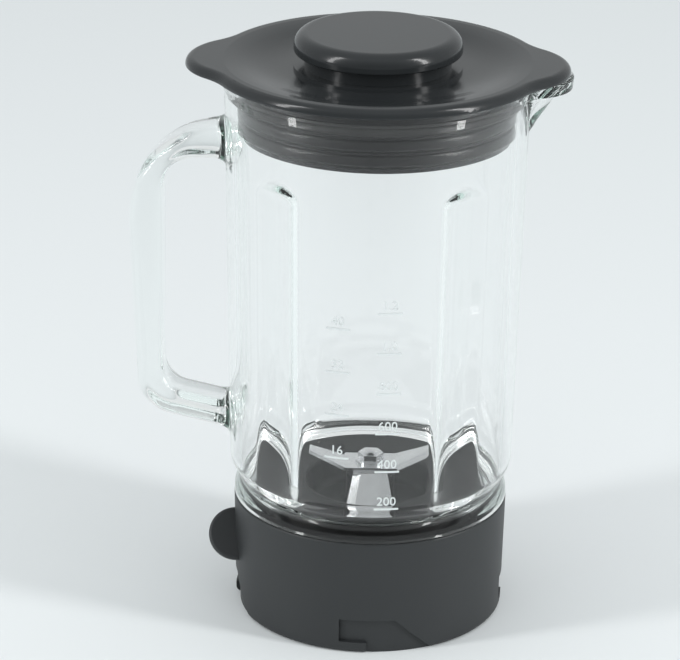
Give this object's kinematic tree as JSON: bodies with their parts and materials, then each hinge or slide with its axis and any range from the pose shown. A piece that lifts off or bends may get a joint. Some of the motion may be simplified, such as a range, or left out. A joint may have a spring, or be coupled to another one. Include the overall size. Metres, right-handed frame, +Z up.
{
  "type": "blender jar",
  "caption": "Glass blender jar with a handle, a spout and ridged walls, an eared push-in lid with a filler cap, and a collar base that carries the blade and drive unit.",
  "frame": {"origin": "centre of the socket's mouth, on the plane that the base stands on", "axes": "+Z up the jar's axis, -X towards the handle, +X towards the spout, -Y towards the front with the scale"},
  "size_m": [0.1888, 0.1424, 0.2624],
  "materials": {
    "clear_glass": "clear pressed glass with a faint green tint",
    "dark_plastic": "dark grey, fine satin texture",
    "carrier_plastic": "dark grey, smooth",
    "seal_rubber": "matt black",
    "lid_rubber": "satin dark grey",
    "bush_bronze": "sintered bronze",
    "blade_steel": "ground and polished",
    "coupling_plastic": "black, moulded"
  },
  "bodies": {
    "base_unit": {"base": "dark_plastic", "blade_carrier": "carrier_plastic", "goblet_seal": "seal_rubber", "upper_bush": "bush_bronze", "lower_bush": "bush_bronze", "shaft_seal": "seal_rubber"},
    "blades": {"spindle": "blade_steel", "slinger": "blade_steel", "lower_blade": "blade_steel", "upper_blade": "blade_steel", "blade_washer": "blade_steel", "blade_nut": "blade_steel", "thrust_washer": "blade_steel", "circlip": "blade_steel", "drive_coupling": "coupling_plastic", "coupling_screw": "blade_steel"},
    "goblet": {"goblet": "clear_glass"},
    "lid": {"lid": "dark_plastic", "lid_seal": "lid_rubber"},
    "cap": {"filler_cap": "dark_plastic"}
  },
  "joints": [
    {"name": "blade_spin", "type": "hinge", "parent": "base_unit", "child": "blades", "pos_m": [0, 0, 0.06], "axis": [0, 0, 1], "continuous": true},
    {"name": "goblet_twist", "type": "hinge", "parent": "base_unit", "child": "goblet", "pos_m": [0, 0, 0.05], "axis": [0, 0, 1], "range_deg": [0, 30]},
    {"name": "lid_lift", "type": "slide", "parent": "goblet", "child": "lid", "axis": [0, 0, 1], "range_m": [0, 0.03]},
    {"name": "cap_lift", "type": "slide", "parent": "lid", "child": "cap", "axis": [0, 0, 1], "range_m": [0, 0.022]}
  ]
}
